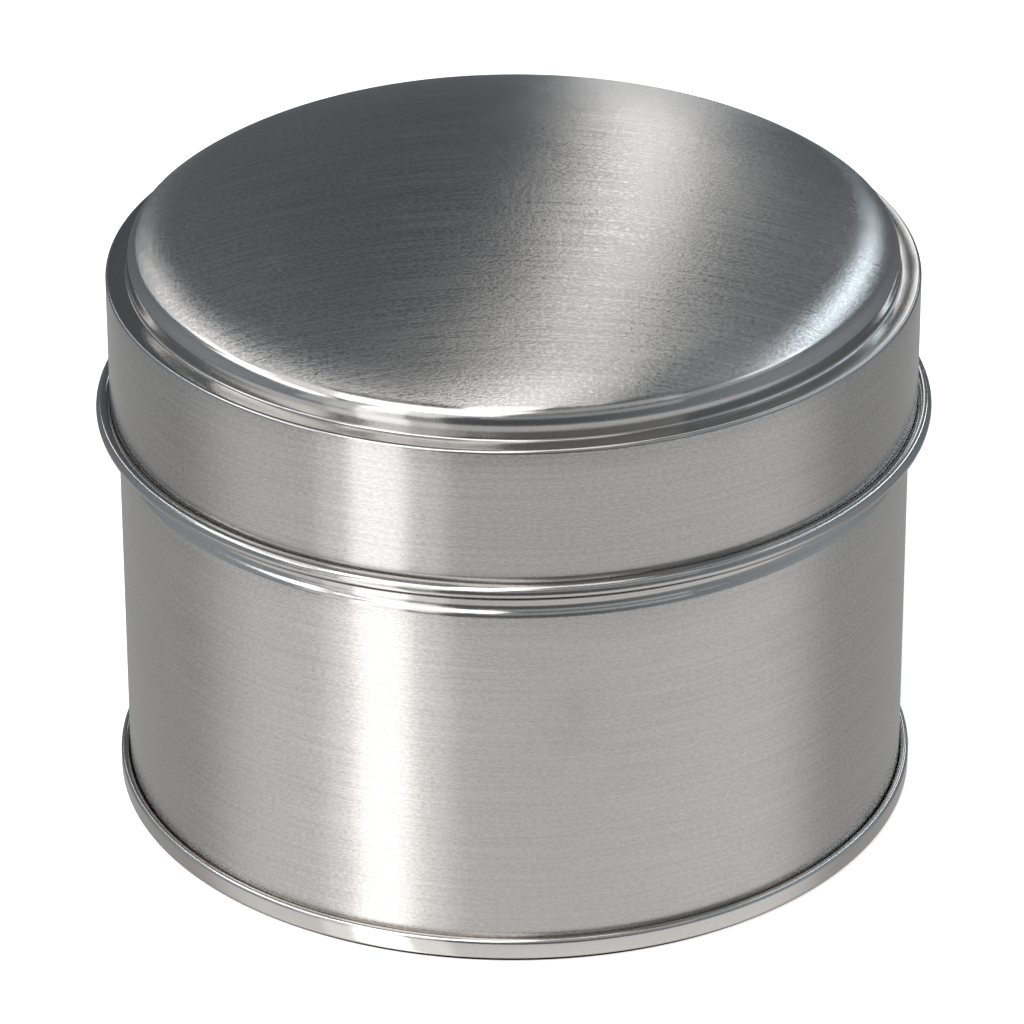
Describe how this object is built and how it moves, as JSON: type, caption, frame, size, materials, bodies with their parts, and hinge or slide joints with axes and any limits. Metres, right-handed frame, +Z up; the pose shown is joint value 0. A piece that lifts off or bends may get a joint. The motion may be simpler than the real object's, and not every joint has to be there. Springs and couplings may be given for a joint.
{
  "type": "round tin with slip lid",
  "caption": "Round tinplate canister with a double-seamed base and a loose slip lid whose panel is a full dome standing above a flat ledge.",
  "frame": {"origin": "middle of the foot, on the surface that the tin stands on", "axes": "+Z up along the tin's axis of symmetry, -Y to the front, +Y to the back where the body's welded side seam is"},
  "size_m": [0.0858, 0.0858, 0.07],
  "materials": {
    "body_tinplate": "fine brushed, satin",
    "base_tinplate": "fine brushed, satin",
    "sealing_compound": "matte",
    "lid_tinplate": "fine brushed, satin"
  },
  "bodies": {
    "canister": {"body_wall": "body_tinplate", "base_end": "base_tinplate", "seam_compound": "sealing_compound"},
    "lid": {"lid": "lid_tinplate"}
  },
  "joints": [
    {"name": "lid_lift", "type": "slide", "parent": "canister", "child": "lid", "axis": [0, 0, 1], "range_m": [0, 0.045]}
  ]
}
